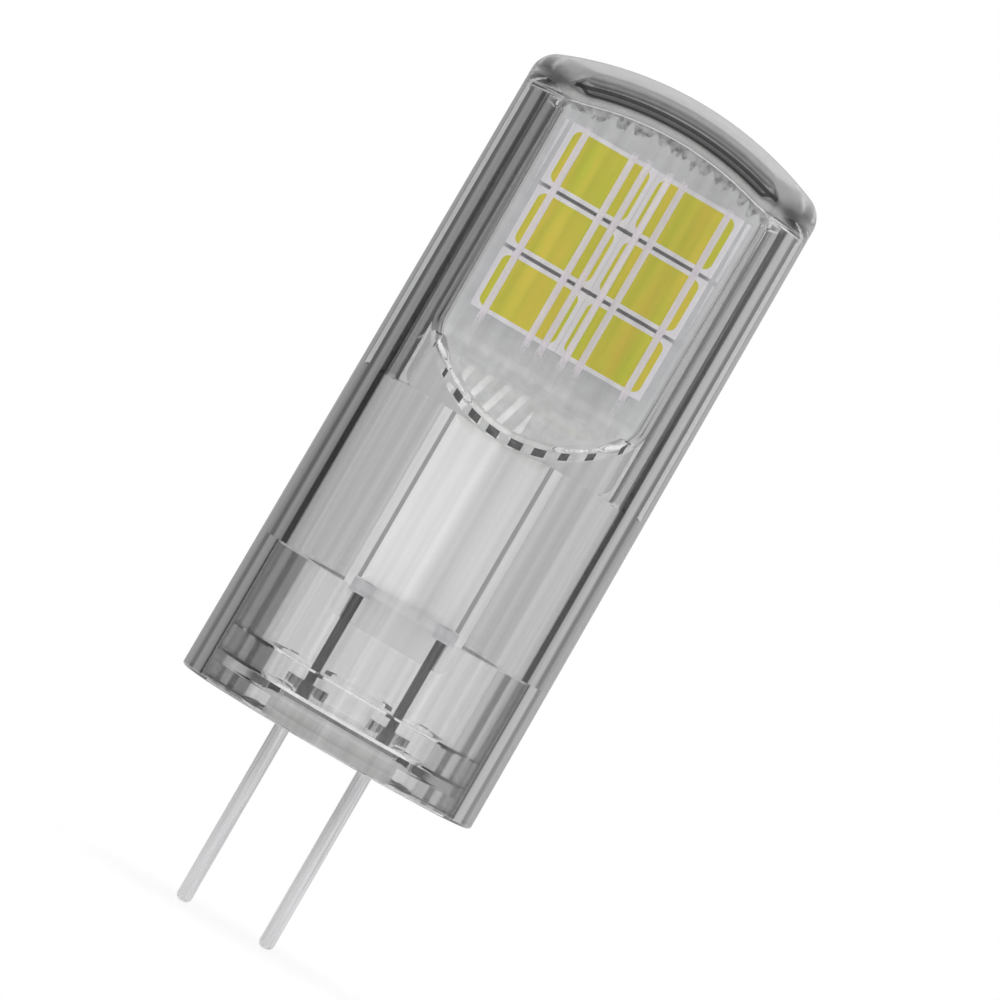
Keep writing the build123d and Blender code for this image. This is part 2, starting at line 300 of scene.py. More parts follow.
def capsule_mesh():
    """Closed wall of the capsule, from the crown down the outside and up the bore.

    Rows and azimuths lie closest where the rails, the jambs, the ramps and the crown's edges bend.
    """
    deg = math.radians
    quarter = spread((0, deg(5.5), 3), (deg(5.5), deg(12), 12), (deg(12), deg(34), 8),
                     (deg(34), deg(50), 34), (deg(50), deg(90), 24))
    azimuths = quadrant_azimuths(quarter)
    fan_height = 27.0 * MM
    rows = []
    for elevation in spread((deg(80), deg(46), 8), (deg(46), deg(14), 44), (deg(14), 0, 4)):
        rows.append(surface_row(capsule_outside, fan_height, elevation, azimuths))
    for height in spread((26.0 * MM, 18.0 * MM, 4), (18.0 * MM, 14.5 * MM, 70),
                         (14.5 * MM, 0.4 * MM, 3), (0.4 * MM, BASE_EDGE, 2)):
        rows.append(surface_row(capsule_outside, height, 0.0, azimuths))
    for turn in spread((deg(15), deg(90), 3)):
        radius = BODY_RADIUS - BASE_EDGE * (1 - math.cos(turn))
        rows.append(ring_row(radius, BASE_EDGE * (1 - math.sin(turn)), azimuths))
    rows.append(ring_row(PLUG_BORE_RADIUS, 0.0, azimuths))
    rows.append(ring_row(PLUG_BORE_RADIUS, PLUG_BORE_HEIGHT, azimuths))
    for height in spread((PLUG_BORE_HEIGHT, 13.0 * MM, 3), (13.0 * MM, 18.4 * MM, 48),
                         (18.4 * MM, fan_height, 4)):
        rows.append(surface_row(capsule_inside, height, 0.0, azimuths))
    for elevation in spread((deg(3), deg(40), 40), (deg(40), deg(80), 10)):
        rows.append(surface_row(capsule_inside, fan_height, elevation, azimuths))
    return closed_rows(rows, (0, 0, BODY_LENGTH), (0, 0, BODY_LENGTH - CROWN_WALL))


def closed_rows(rows, first_pole, last_pole):
    """Mesh data of stacked closed rows with a pole at each end."""
    count = len(rows[0])
    verts = [tuple(first_pole)]
    for row in rows:
        verts.extend(map(tuple, row))
    verts.append(tuple(last_pole))
    faces = []
    for i in range(count):
        j = (i + 1) % count
        faces.append((0, 1 + i, 1 + j))
        for r in range(len(rows) - 1):
            a, b = 1 + r * count, 1 + (r + 1) * count
            faces.append((a + i, b + i, b + j, a + j))
        last = 1 + (len(rows) - 1) * count
        faces.append((last + i, len(verts) - 1, last + j))
    return verts, faces


def lathe(profile, centre_x=0.0, segments=96):
    """Mesh data of a profile of (radius, height) turned about an upright axis, top first."""
    azimuths = np.linspace(0, 2 * math.pi, segments, endpoint=False)
    rows = [ring_row(radius, height, azimuths) for radius, height in profile[1:-1]]
    verts, faces = closed_rows(rows, (0, 0, profile[0][1]), (0, 0, profile[-1][1]))
    return [(x + centre_x, y, z) for x, y, z in verts], faces


def new_piece(name, verts, faces, material, sharp_angle=35.0):
    """Piece from mesh data, smooth apart from its real corners."""
    mesh = bpy.data.meshes.new(name)
    mesh.from_pydata(verts, [], faces)
    if material:
        mesh.materials.append(material)
    mesh.shade_smooth()
    mesh.set_sharp_from_angle(angle=math.radians(sharp_angle))
    mesh.validate()
    piece = bpy.data.objects.new(name, mesh)
    bpy.context.collection.objects.link(piece)
    return piece


def baked(piece, sharp_angle=35.0):
    """Applies a piece's modifiers to its mesh and removes them."""
    graph = bpy.context.evaluated_depsgraph_get()
    mesh = bpy.data.meshes.new_from_object(piece.evaluated_get(graph))
    piece.modifiers.clear()
    old = piece.data
    piece.data = mesh
    bpy.data.meshes.remove(old)
    mesh.name = piece.name
    mesh.shade_smooth()
    mesh.set_sharp_from_angle(angle=math.radians(sharp_angle))
    return piece


def combine(piece, other, operation):
    """Adds another mesh to a piece, or takes it away, once the piece is baked."""
    modifier = piece.modifiers.new(operation.lower(), "BOOLEAN")
    modifier.operation = operation
    modifier.solver = "EXACT"
    modifier.object = other
    other.hide_render = True


def drop_pieces(*stems):
    """Removes the helper meshes whose names start with the given stems."""
    for piece in list(bpy.data.objects):
        if piece.name.split(".")[0] in stems:
            bpy.data.objects.remove(piece)


def rounded_loop(width, height, radius, steps=5):
    """Corner-rounded rectangle as a closed loop of (across, up) points."""
    loop = []
    for turn, (sx, sz) in enumerate(((1, 1), (-1, 1), (-1, -1), (1, -1))):
        for step in range(steps + 1):
            angle = math.pi / 2 * (turn + step / steps)
            loop.append((sx * (width / 2 - radius) + radius * math.cos(angle),
                         sz * (height / 2 - radius) + radius * math.sin(angle)))
    return loop


def stacked_loops(loops, side, centre):
    """Closed mesh through loops of (across, up) points at depths off the board's face."""
    cx, face, cz = centre
    verts, faces = [], []
    count = len(loops[0][0])
    for loop, depth in loops:
        verts.extend((cx + u, side * (face + depth), cz + v) for u, v in loop)
    for r in range(len(loops) - 1):
        for i in range(count):
            j = (i + 1) % count
            a, b = r * count, (r + 1) * count
            faces.append((a + i, a + j, b + j, b + i))
    faces.append(tuple(reversed(range(count))))
    last = (len(loops) - 1) * count
    faces.append(tuple(range(last, last + count)))
    return verts, faces


def outward(piece):
    """Turns a closed piece's faces outwards."""
    shape = bmesh.new()
    shape.from_mesh(piece.data)
    bmesh.ops.recalc_face_normals(shape, faces=shape.faces)
    shape.to_mesh(piece.data)
    shape.free()
    return piece


def sums_in(tree):
    """Returns a function that adds one Math node to a tree, from sockets and plain numbers."""
    def maths(operation, *terms):
        made = tree.nodes.new("ShaderNodeMath")
        made.operation = operation
        for index, term in enumerate(terms):
            if isinstance(term, (int, float)):
                made.inputs[index].default_value = term
            else:
                tree.links.new(term, made.inputs[index])
        return made.outputs[0]
    return maths


def object_place(material):
    """Sockets with a point's own X, Y and Z in the lamp's frame, in metres."""
    place = material.node_tree.nodes.new("ShaderNodeTexCoord")
    split = material.node_tree.nodes.new("ShaderNodeSeparateXYZ")
    material.node_tree.links.new(place.outputs["Object"], split.inputs[0])
    return split.outputs


def noise_group():
    """Shader group: stretched noise on object coordinates, as a mask and a height."""
    tree = bpy.data.node_groups.new("grain", "ShaderNodeTree")
    face = tree.interface
    cells = face.new_socket("Cells per metre", in_out="INPUT", socket_type="NodeSocketFloat")
    cells.default_value = 2000.0
    stretch = face.new_socket("Stretch", in_out="INPUT", socket_type="NodeSocketVector")
    stretch.default_value = (1, 1, 1)
    contrast = face.new_socket("Contrast", in_out="INPUT", socket_type="NodeSocketFloat")
    contrast.default_value = 1.0
    face.new_socket("Mask", in_out="OUTPUT", socket_type="NodeSocketFloat")
    nodes, links = tree.nodes, tree.links
    given = nodes.new("NodeGroupInput")
    place = nodes.new("ShaderNodeTexCoord")
    squeeze = nodes.new("ShaderNodeVectorMath")
    squeeze.operation = "MULTIPLY"
    links.new(place.outputs["Object"], squeeze.inputs[0])
    links.new(given.outputs["Stretch"], squeeze.inputs[1])
    noise = nodes.new("ShaderNodeTexNoise")
    noise.inputs["Detail"].default_value = 3.0
    links.new(squeeze.outputs[0], noise.inputs["Vector"])
    links.new(given.outputs["Cells per metre"], noise.inputs["Scale"])
    centred = nodes.new("ShaderNodeMath")
    centred.operation = "SUBTRACT"
    centred.inputs[1].default_value = 0.5
    links.new(noise.outputs["Fac"], centred.inputs[0])
    spread_out = nodes.new("ShaderNodeMath")
    spread_out.operation = "MULTIPLY_ADD"
    spread_out.use_clamp = True
    spread_out.inputs[2].default_value = 0.5
    links.new(centred.outputs[0], spread_out.inputs[0])
    links.new(given.outputs["Contrast"], spread_out.inputs[1])
    result = nodes.new("NodeGroupOutput")
    links.new(spread_out.outputs[0], result.inputs["Mask"])
    return tree


GRAIN = noise_group()


def add_grain(material, cells, stretch, contrast):
    """Places the grain group in a material and returns its mask."""
    group = material.node_tree.nodes.new("ShaderNodeGroup")
    group.node_tree = GRAIN
    group.inputs["Cells per metre"].default_value = cells
    group.inputs["Stretch"].default_value = stretch
    group.inputs["Contrast"].default_value = contrast
    return group.outputs["Mask"]


def mixed_colour(material, mask, first, second):
    """Colour between two, each a plain colour or a socket, by a mask."""
    mix = material.node_tree.nodes.new("ShaderNodeMix")
    mix.data_type = "RGBA"
    for socket, colour in (("A", first), ("B", second)):
        if isinstance(colour, tuple):
            mix.inputs[socket].default_value = (*colour, 1)
        else:
            material.node_tree.links.new(colour, mix.inputs[socket])
    material.node_tree.links.new(mask, mix.inputs["Factor"])
    return mix.outputs["Result"]


def ranged(material, mask, low, high, start=0.0, stop=1.0):
    """A value that runs from low to high while the mask runs from start to stop."""
    remap = material.node_tree.nodes.new("ShaderNodeMapRange")
    remap.inputs["From Min"].default_value = start
    remap.inputs["From Max"].default_value = stop
    remap.inputs["To Min"].default_value = low
    remap.inputs["To Max"].default_value = high
    material.node_tree.links.new(mask, remap.inputs["Value"])
    return remap.outputs["Result"]


def bumped(material, mask, distance, strength=0.5):
    """Feeds a mask to the surface's normal as a height."""
    bump = material.node_tree.nodes.new("ShaderNodeBump")
    bump.inputs["Distance"].default_value = distance
    bump.inputs["Strength"].default_value = strength
    links = material.node_tree.links
    links.new(mask, bump.inputs["Height"])
    links.new(bump.outputs["Normal"], material.node_tree.nodes["Principled BSDF"].inputs["Normal"])


def principled(name, **values):
    """Material with a Principled surface and the given socket values."""
    material = bpy.data.materials.new(name)
    material.use_nodes = True
    shader = material.node_tree.nodes["Principled BSDF"]
    for key, value in values.items():
        shader.inputs[key.replace("_", " ")].default_value = value
    return material


def grained(name, first, second, roughness, cells=3000.0, stretch=(1, 1, 1), contrast=1.6,
            bump=0.004 * MM, **values):
    """Opaque material whose colour, roughness and surface vary with the grain."""
    material = principled(name, **values)
    links = material.node_tree.links
    shader = material.node_tree.nodes["Principled BSDF"]
    mask = add_grain(material, cells, stretch, contrast)
    links.new(mixed_colour(material, mask, first, second), shader.inputs["Base Color"])
    links.new(ranged(material, mask, *roughness), shader.inputs["Roughness"])
    bumped(material, mask, bump)
    return material


def clear_plastic(name, tint, density, streak):
    """Clear polycarbonate with a faint body tint and lengthwise flow lines."""
    material = principled(name, Roughness=CLEAR_ROUGHNESS, IOR=1.585, Specular_IOR_Level=0.3,
                          Transmission_Weight=1.0)
    nodes, links = material.node_tree.nodes, material.node_tree.links
    flow = add_grain(material, cells=1900.0, stretch=(1, 1, 0.006), contrast=3.0)
    links.new(mixed_colour(material, flow, streak, (1.0, 1.0, 1.0)),
              nodes["Principled BSDF"].inputs["Base Color"])
    ripple = add_grain(material, cells=500.0, stretch=(1, 1, 0.15), contrast=1.0)
    bumped(material, ripple, 0.004 * MM, 0.25)
    body = nodes.new("ShaderNodeVolumeAbsorption")
    body.inputs["Color"].default_value = tint
    body.inputs["Density"].default_value = density
    links.new(body.outputs["Volume"], nodes["Material Output"].inputs["Volume"])
    return material


def capsule_finish():
    """Clear plastic: a soft crown with a frosted frill of painted mottled shade under it, and painted
    dark shade at the ramps, crown and foot.
    """
    material = clear_plastic("clear_capsule", (0.71, 0.71, 0.72, 1), 130.0, (0.80, 0.80, 0.80))
    shader = material.node_tree.nodes["Principled BSDF"]
    links = material.node_tree.links
    maths = sums_in(material.node_tree)
    x, y, z = object_place(material)
    out = maths("ABSOLUTE", y)
    radius = maths("SQRT", maths("ADD", maths("MULTIPLY", x, x), maths("MULTIPLY", y, y)))

    # Painted dark dashes of shade where a ramp meets the round side
    ramp = maths("MULTIPLY_ADD", out, -RAMP_RISE, WINDOW_FOOT + RAMP_RISE * WINDOW_OFFSET)
    over_ramp = maths("SUBTRACT", z, ramp)
    near_ramp = maths("GREATER_THAN", over_ramp, -DASH_THICKNESS)
    rim = maths("GREATER_THAN", radius, BODY_RADIUS - DASH_RIM)
    below_window = maths("MULTIPLY", maths("LESS_THAN", z, WINDOW_FOOT + SKIN),
                         maths("LESS_THAN", over_ramp, SKIN))
    across = maths("ABSOLUTE", x)
    turns = maths("MULTIPLY_ADD", across, 1 / DASH_PITCH, -DASH_SHIFT)
    wave = maths("COSINE", maths("MULTIPLY", turns, 2 * math.pi))
    wobble = add_grain(material, cells=900.0, stretch=(1, 1, 0), contrast=1.4)
    cut = maths("MULTIPLY_ADD", across, DASH_TAPER / MM, maths("MULTIPLY_ADD", wobble, 1.4, -1.1))
    dark = maths("GREATER_THAN", wave, cut)
    dash = maths("MULTIPLY", maths("MULTIPLY", near_ramp, rim), maths("MULTIPLY", below_window, dark))

    # Painted mottled shade on the crown's underside, with a ragged edge down the windows' inner faces
    drop = maths("MAXIMUM", maths("SUBTRACT", z, CROWN_CENTRE), 0.0)
    reach = maths("SQRT", maths("ADD", maths("MULTIPLY", radius, radius), maths("MULTIPLY", drop, drop)))
    under = maths("SUBTRACT", INNER_CROWN_RADIUS, reach)
    ragged = add_grain(material, cells=3400.0, stretch=(1, 1, 0.15), contrast=2.5)
    high = maths("MULTIPLY_ADD", under, -1 / FRILL_HEIGHT, 1.0)
    frill = maths("GREATER_THAN", high, maths("MULTIPLY_ADD", ragged, 0.9, 0.05))
    inner = maths("MULTIPLY", maths("LESS_THAN", radius, BORE_RADIUS + SKIN),
                  maths("LESS_THAN", out, BORE_WINDOW_OFFSET + 2 * SKIN))
    inner = maths("MULTIPLY", inner, maths("GREATER_THAN", under, -SKIN))
    frill = maths("MULTIPLY", frill, maths("MULTIPLY", inner, maths("LESS_THAN", across, FRILL_REACH)))
    inner_crown = maths("MULTIPLY", maths("LESS_THAN", under, SKIN), INNER_CROWN_ROUGHNESS)
    rough = maths("MAXIMUM", maths("MULTIPLY", frill, FRILL_ROUGHNESS), inner_crown)
    rough = maths("MULTIPLY", rough, inner)
    frill = maths("MULTIPLY", frill, maths("GREATER_THAN", under, 0.3 * SKIN))
    mottle = add_grain(material, cells=3800.0, stretch=(1, 1, 1), contrast=3.0)
    painted_mottle = mixed_colour(material, mottle, (0.08, 0.08, 0.08), (0.70, 0.70, 0.70))

    # Painted dark strips of shade at the foot's sides
    strip = maths("MULTIPLY", maths("GREATER_THAN", across, BODY_RADIUS - STRIP_WIDTH),
                  maths("LESS_THAN", z, STRIP_HEIGHT))
    dash = maths("MAXIMUM", dash, strip)

    # Painted dark line of shade where the crown rolls over into a window
    below_crown = maths("SUBTRACT", maths("SUBTRACT", CROWN_RADIUS, reach), ARC_DEPTH)
    arc = maths("MULTIPLY", maths("LESS_THAN", maths("ABSOLUTE", below_crown), ARC_THICKNESS),
                maths("GREATER_THAN", out, WINDOW_OFFSET - 2 * SKIN))
    arc = maths("MULTIPLY", arc, maths("LESS_THAN", across, ARC_REACH))
    dash = maths("MAXIMUM", dash, arc)

    flow = shader.inputs["Base Color"].links[0].from_socket
    colour = mixed_colour(material, frill, flow, painted_mottle)
    links.new(mixed_colour(material, dash, colour, SHADE_BLACK), shader.inputs["Base Color"])
    soft = ranged(material, under, CROWN_ROUGHNESS, CLEAR_ROUGHNESS, *CROWN_FADE)
    links.new(maths("MAXIMUM", soft, rough), shader.inputs["Roughness"])
    return material


def plug_finish():
    """Clear plastic with short dashes of painted dark shade along its ledge."""
    material = clear_plastic("clear_plug", (0.71, 0.71, 0.72, 1), 50.0, (0.95, 0.95, 0.95))
    shader = material.node_tree.nodes["Principled BSDF"]
    maths = sums_in(material.node_tree)
    x, _, z = object_place(material)
    across = maths("ABSOLUTE", x)

    def near(value, place, half):
        return maths("LESS_THAN", maths("ABSOLUTE", maths("SUBTRACT", value, place)), half)

    # Painted shade: dark dashes along the ledge's edge
    level = near(z, PLUG_LEDGE - LEDGE_EDGE / 2, 0.08 * MM)
    dash = 0.0
    for place, half in LEDGE_DASHES:
        dash = maths("MAXIMUM", dash, near(across, place, half))
    flow = shader.inputs["Base Color"].links[0].from_socket
    mask = maths("MULTIPLY", level, dash)
    material.node_tree.links.new(mixed_colour(material, mask, flow, SHADE_BLACK), shader.inputs["Base Color"])
    return material


def rib_finish():
    """Frosted plastic, faint below the LEDs and fading out at the ribs' tops."""
    material = grained("frosted_rib", (0.93, 0.87, 0.96), (1.0, 0.96, 1.0), (0.35, 0.5),
                       stretch=(1, 1, 0.2), Transmission_Weight=0.3, IOR=1.2)
    maths = sums_in(material.node_tree)
    z = object_place(material)[2]
    foot = ranged(material, z, 0.12, 0.92, LED_FOOT - 0.6 * MM, LED_FOOT)
    top = ranged(material, z, 1.0, 0.0, RIB_TOP - 0.6 * MM, RIB_TOP)
    shader = material.node_tree.nodes["Principled BSDF"]
    material.node_tree.links.new(maths("MULTIPLY", foot, top), shader.inputs["Alpha"])
    return material


def board_finish():
    """White solder mask with painted light and shade: the head painted grey, with painted highlights
    (gleams), and the tongue painted lighter, with painted shadow beside the covers.
    """
    material = grained("board", (0.62, 0.63, 0.63), (0.70, 0.71, 0.71), (0.35, 0.5), contrast=2.0)
    shader = material.node_tree.nodes["Principled BSDF"]
    links = material.node_tree.links
    maths = sums_in(material.node_tree)
    x, _, z = object_place(material)
    # The head's grained grey is painted shade on the white mask; the tongue is painted lighter
    head = shader.inputs["Base Color"].links[0].from_socket
    # Painted shadow of the covers: dark grey close beside them above their foot, light further out and
    # below it
    edge = maths("GREATER_THAN", maths("ABSOLUTE", x), COVER_HALF_WIDTH + COVER_SHADE)
    beside = mixed_colour(material, edge, (0.42, 0.42, 0.42), (0.90, 0.90, 0.90))
    tongue = mixed_colour(material, maths("LESS_THAN", z, COVER_FOOT), beside, (0.93, 0.93, 0.93))

    # Painted slanting highlights (gleams) below the LEDs
    slanted = maths("MULTIPLY_ADD", z, -GLEAM_SLANT, x)
    slant = maths("COSINE", maths("MULTIPLY", slanted, 2 * math.pi / GLEAM_PITCH))
    gleam = maths("MULTIPLY", ranged(material, slant, 0.0, 1.0, 0.1, 0.7),
                  ranged(material, z, 1.0, 0.0, WINDOW_FOOT - 1.6 * MM, WINDOW_FOOT - 0.3 * MM))
    beside_centre = maths("ABSOLUTE", maths("SUBTRACT", x, GLEAM_CENTRE))
    gleam = maths("MULTIPLY", gleam, maths("LESS_THAN", beside_centre, GLEAM_HALF_WIDTH))
    head = mixed_colour(material, gleam, head, (1.0, 1.0, 1.0))

    # Painted shade in the corners, below the curve where a ramp meets the round side
    chord = maths("SQRT", maths("SUBTRACT", BODY_RADIUS**2, maths("MULTIPLY", x, x)))
    arc = maths("MULTIPLY_ADD", chord, -RAMP_RISE, WINDOW_FOOT + RAMP_RISE * WINDOW_OFFSET)
    shaded = mixed_colour(material, maths("LESS_THAN", z, arc), head, (0.62, 0.62, 0.62))
    links.new(mixed_colour(material, maths("GREATER_THAN", z, RAIL_FOOT), tongue, shaded),
              shader.inputs["Base Color"])
    return material


def cover_finish():
    """White moulding, painted a little brighter on its left side as painted light, and grey on its right
    as painted shade.
    """
    material = grained("driver_cover", (0.95, 0.95, 0.95), (0.99, 0.99, 0.99), (0.35, 0.5),
                       stretch=(1, 1, 0.2))
    shader = material.node_tree.nodes["Principled BSDF"]
    left = shader.inputs["Base Color"].links[0].from_socket
    # Painted light and shade: the left side white, the right side painted grey
    side = ranged(material, object_place(material)[0], 0.0, 1.0, -0.15 * MM, 0.25 * MM)
    material.node_tree.links.new(mixed_colour(material, side, left, (0.78, 0.78, 0.78)),
                                 shader.inputs["Base Color"])
    return material


def phosphor_finish():
    """Phosphor in silicone: yellow-green with warmer streaks."""
    return grained("led_phosphor", (0.62, 0.66, 0.015), (0.84, 0.66, 0.040), (0.3, 0.42),
                   cells=1500.0, stretch=(1, 1, 0.12), contrast=2.6)


def contact_pin_finish():
    """Tin-plated wire, drawn lengthwise, darker where it runs inside the base."""
    material = principled("contact_pin", Metallic=1.0)
    nodes, links = material.node_tree.nodes, material.node_tree.links
    shader = nodes["Principled BSDF"]
    drawn = add_grain(material, cells=9000.0, stretch=(1, 1, 0.03), contrast=2.0)
    bright = mixed_colour(material, drawn, (0.56, 0.56, 0.57), (0.80, 0.80, 0.81))
    inside = ranged(material, object_place(material)[2], 0.0, 1.0, 0.0, 0.4 * MM)
    links.new(mixed_colour(material, inside, bright, (0.08, 0.08, 0.08)), shader.inputs["Base Color"])
    links.new(ranged(material, drawn, 0.22, 0.38), shader.inputs["Roughness"])
    bumped(material, drawn, 0.004 * MM)
    return material


finishes = {
    "clear_capsule": capsule_finish(),
    "clear_plug": plug_finish(),
    "frosted_rib": rib_finish(),
    "sealant": grained("sealant", (0.94, 0.94, 0.93), (0.99, 0.99, 0.98), (0.4, 0.55), bump=0.03 * MM),
    "contact_pin": contact_pin_finish(),
    "board": board_finish(),
    "led_package": grained("led_package", (0.86, 0.84, 0.90), (0.92, 0.90, 0.94), (0.35, 0.5)),
    "led_phosphor": phosphor_finish(),
    "driver_cover": cover_finish(),
    "black_moulding": grained("black_moulding", (0.025, 0.025, 0.025), (0.05, 0.05, 0.05),
                              (0.45, 0.6)),
    "inductor_core": grained("inductor_core", (0.09, 0.09, 0.1), (0.14, 0.14, 0.15), (0.55, 0.7)),
    "capacitor_body": grained("capacitor_body", (0.48, 0.38, 0.24), (0.55, 0.44, 0.28), (0.4, 0.55)),
    "resistor_body": grained("resistor_body", (0.03, 0.03, 0.04), (0.06, 0.06, 0.07), (0.3, 0.45)),
    "solder": grained("solder", (0.80, 0.80, 0.82), (0.92, 0.92, 0.94), (0.4, 0.55), Metallic=1.0,
                      bump=0.02 * MM),
}
for subpart in frame["record"]["subparts"]:
    node = frame["nodes"][subpart["node"]]
    node.data.materials.clear()
    node.data.materials.append(finishes[subpart["material_slot"]])


def stand_for(piece, slot, *nodes):
    """Attaches a piece to the lamp's one body, in place of CAD nodes, which it hides. The slot is not
    used.
    """
    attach(piece, "root")
    if nodes:
        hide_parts(*nodes)


def build_capsule():
    """The clear moulded cover, in one piece."""
    verts, faces = capsule_mesh()
    capsule = new_piece("capsule", verts, faces, finishes["clear_capsule"], 28.0)
    stand_for(capsule, "clear_capsule", "capsule_shell")


def pocket_line(steps=6):
    """Points (radius, height) up the pocket's sloping shoulder, eased into its rim and roof."""
    points = []
    for step in range(steps + 1):
        share = step / steps
        eased = share * share * (3 - 2 * share)
        height = POCKET_RIM + (POCKET_DEPTH - POCKET_RIM) * eased
        points.append((POCKET_RADIUS - POCKET_SLOPE * share, height))
    return points


def rib_tree():
    """Geometry Nodes: a frosted half-round rib at each point, standing up from it."""
    tree = bpy.data.node_groups.new("window_ribs", "GeometryNodeTree")
    face = tree.interface
    face.new_socket("Geometry", in_out="INPUT", socket_type="NodeSocketGeometry")
    for name in ("Rib length", "Rib half width", "Rib rise"):
        face.new_socket(name, in_out="INPUT", socket_type="NodeSocketFloat")
    face.new_socket("Finish", in_out="INPUT", socket_type="NodeSocketMaterial")
    face.new_socket("Geometry", in_out="OUTPUT", socket_type="NodeSocketGeometry")
    nodes, links = tree.nodes, tree.links
    given = nodes.new("NodeGroupInput")
    section = nodes.new("GeometryNodeCurvePrimitiveCircle")
    section.inputs["Resolution"].default_value = 16
    section.inputs["Radius"].default_value = 1.0
    sizes = nodes.new("ShaderNodeCombineXYZ")
    links.new(given.outputs["Rib half width"], sizes.inputs["X"])
    links.new(given.outputs["Rib rise"], sizes.inputs["Y"])
    sizes.inputs["Z"].default_value = 1.0
    flatten = nodes.new("GeometryNodeTransform")
    links.new(section.outputs["Curve"], flatten.inputs["Geometry"])
    links.new(sizes.outputs[0], flatten.inputs["Scale"])
    top = nodes.new("ShaderNodeCombineXYZ")
    links.new(given.outputs["Rib length"], top.inputs["Z"])
    path = nodes.new("GeometryNodeCurvePrimitiveLine")
    links.new(top.outputs[0], path.inputs["End"])
    sweep = nodes.new("GeometryNodeCurveToMesh")
    sweep.inputs["Fill Caps"].default_value = True
    links.new(path.outputs["Curve"], sweep.inputs["Curve"])
    links.new(flatten.outputs["Geometry"], sweep.inputs["Profile Curve"])
    place = nodes.new("GeometryNodeInstanceOnPoints")
    links.new(given.outputs["Geometry"], place.inputs["Points"])
    links.new(sweep.outputs["Mesh"], place.inputs["Instance"])
    realize = nodes.new("GeometryNodeRealizeInstances")
    links.new(place.outputs["Instances"], realize.inputs["Geometry"])
    paint = nodes.new("GeometryNodeSetMaterial")
    links.new(realize.outputs["Geometry"], paint.inputs["Geometry"])
    links.new(given.outputs["Finish"], paint.inputs["Material"])
    result = nodes.new("NodeGroupOutput")
    links.new(paint.outputs["Geometry"], result.inputs["Geometry"])
    return tree


def build_ribs():
    """Frosted half-round ribs down the inner face of each window."""
    tree = rib_tree()
    values = {"Rib length": RIB_TOP - WINDOW_FOOT, "Rib half width": RIB_HALF_WIDTH,
              "Rib rise": RIB_RISE, "Finish": finishes["frosted_rib"]}
    for side_name, side in (("front", -1), ("back", 1)):
        feet = [(sign * place, side * (BORE_WINDOW_OFFSET - RIB_RISE - RIB_GAP), WINDOW_FOOT)
                for place in RIB_PLACES for sign in (-1, 1)]
        ribs = new_piece(f"window_ribs_{side_name}", feet, [], None)
        modifier = ribs.modifiers.new("ribs", "NODES")
        modifier.node_group = tree
        for item in tree.interface.items_tree:
            if item.name in values:
                modifier[item.identifier] = values[item.name]
        baked(ribs)
        stand_for(ribs, "clear_capsule", "capsule_shell")


def build_plug():
    """Clear plug: skirt, ledge, thin floor with pin collars, sealant pocket and relief groove."""
    profile = [(0, PLUG_FLOOR), (LEDGE_RADIUS - PLUG_CORNER, PLUG_FLOOR),
               (LEDGE_RADIUS, PLUG_FLOOR + PLUG_CORNER), (LEDGE_RADIUS, PLUG_LEDGE - LEDGE_EDGE),
               (LEDGE_RADIUS + LEDGE_EDGE, PLUG_LEDGE), (SKIRT_RADIUS, PLUG_LEDGE),
               (SKIRT_RADIUS, PLUG_TOP), (PLUG_RADIUS, PLUG_TOP), (PLUG_RADIUS, 0),
               (GROOVE_OUTER, 0), (GROOVE_OUTER, GROOVE_DEPTH), (GROOVE_INNER, GROOVE_DEPTH),
               (GROOVE_INNER, 0), (POCKET_RADIUS, 0)]
    profile += pocket_line() + [(0, POCKET_DEPTH)]
    plug = new_piece("plug", *lathe(profile), finishes["clear_plug"])
    for x in (-PIN_X, PIN_X):
        foot = PLUG_FLOOR - COLLAR_BITE
        rod = [(0, COLLAR_TOP), (COLLAR_RADIUS, COLLAR_TOP), (COLLAR_RADIUS, foot), (0, foot)]
        combine(plug, new_piece("collar", *lathe(rod, x, segments=64), None), "UNION")
        rod = [(0, 2 * COLLAR_TOP), (NECK_RADIUS + PIN_CLEARANCE, 2 * COLLAR_TOP),
               (NECK_RADIUS + PIN_CLEARANCE, -MM), (0, -MM)]
        combine(plug, new_piece("bore", *lathe(rod, x, segments=64), None), "DIFFERENCE")
    baked(plug)
    drop_pieces("collar", "bore")
    stand_for(plug, "clear_plug", "base_plug")


def build_sealant():
    """White compound filling the pocket, with a hole for each pin."""
    profile = [(0, POCKET_DEPTH + SEALANT_BITE)]
    for radius, height in reversed(pocket_line()):
        profile.append((radius + SEALANT_BITE, height + SEALANT_BITE))
    profile += [(POCKET_RADIUS + SEALANT_BITE, 0), (0, 0)]
    sealant = new_piece("sealant", *lathe(profile), finishes["sealant"])
    for x in (-PIN_X, PIN_X):
        rod = [(0, 2 * MM), (PIN_RADIUS, 2 * MM), (PIN_RADIUS, -MM), (0, -MM)]
        combine(sealant, new_piece("bore", *lathe(rod, x, segments=48), None), "DIFFERENCE")
    baked(sealant)
    drop_pieces("bore")
    stand_for(sealant, "sealant", "base_sealant")


def build_pins():
    """Contact pins: rounded tips, straight shanks, necks in the base and slim tails."""
    profile = [(0, TAIL_TOP), (TAIL_RADIUS, TAIL_TOP), (TAIL_RADIUS, COLLAR_TOP),
               (NECK_RADIUS, COLLAR_TOP), (NECK_RADIUS, -PIN_NECK_DROP), (PIN_RADIUS, -PIN_NECK_DROP)]
    steps = 6
    for step in range(steps + 1):
        turn = math.pi / 2 * step / steps
        radius = PIN_RADIUS - PIN_TIP * (1 - math.cos(turn))
        profile.append((radius, PIN_TIP - PIN_REACH - PIN_TIP * math.sin(turn)))
    profile.append((0, -PIN_REACH))
    for name, x in (("left", -PIN_X), ("right", PIN_X)):
        pin = new_piece(f"pin_{name}", *lathe(profile, x, segments=48), finishes["contact_pin"])
        stand_for(pin, "contact_pin", f"contact_pin_{name}")


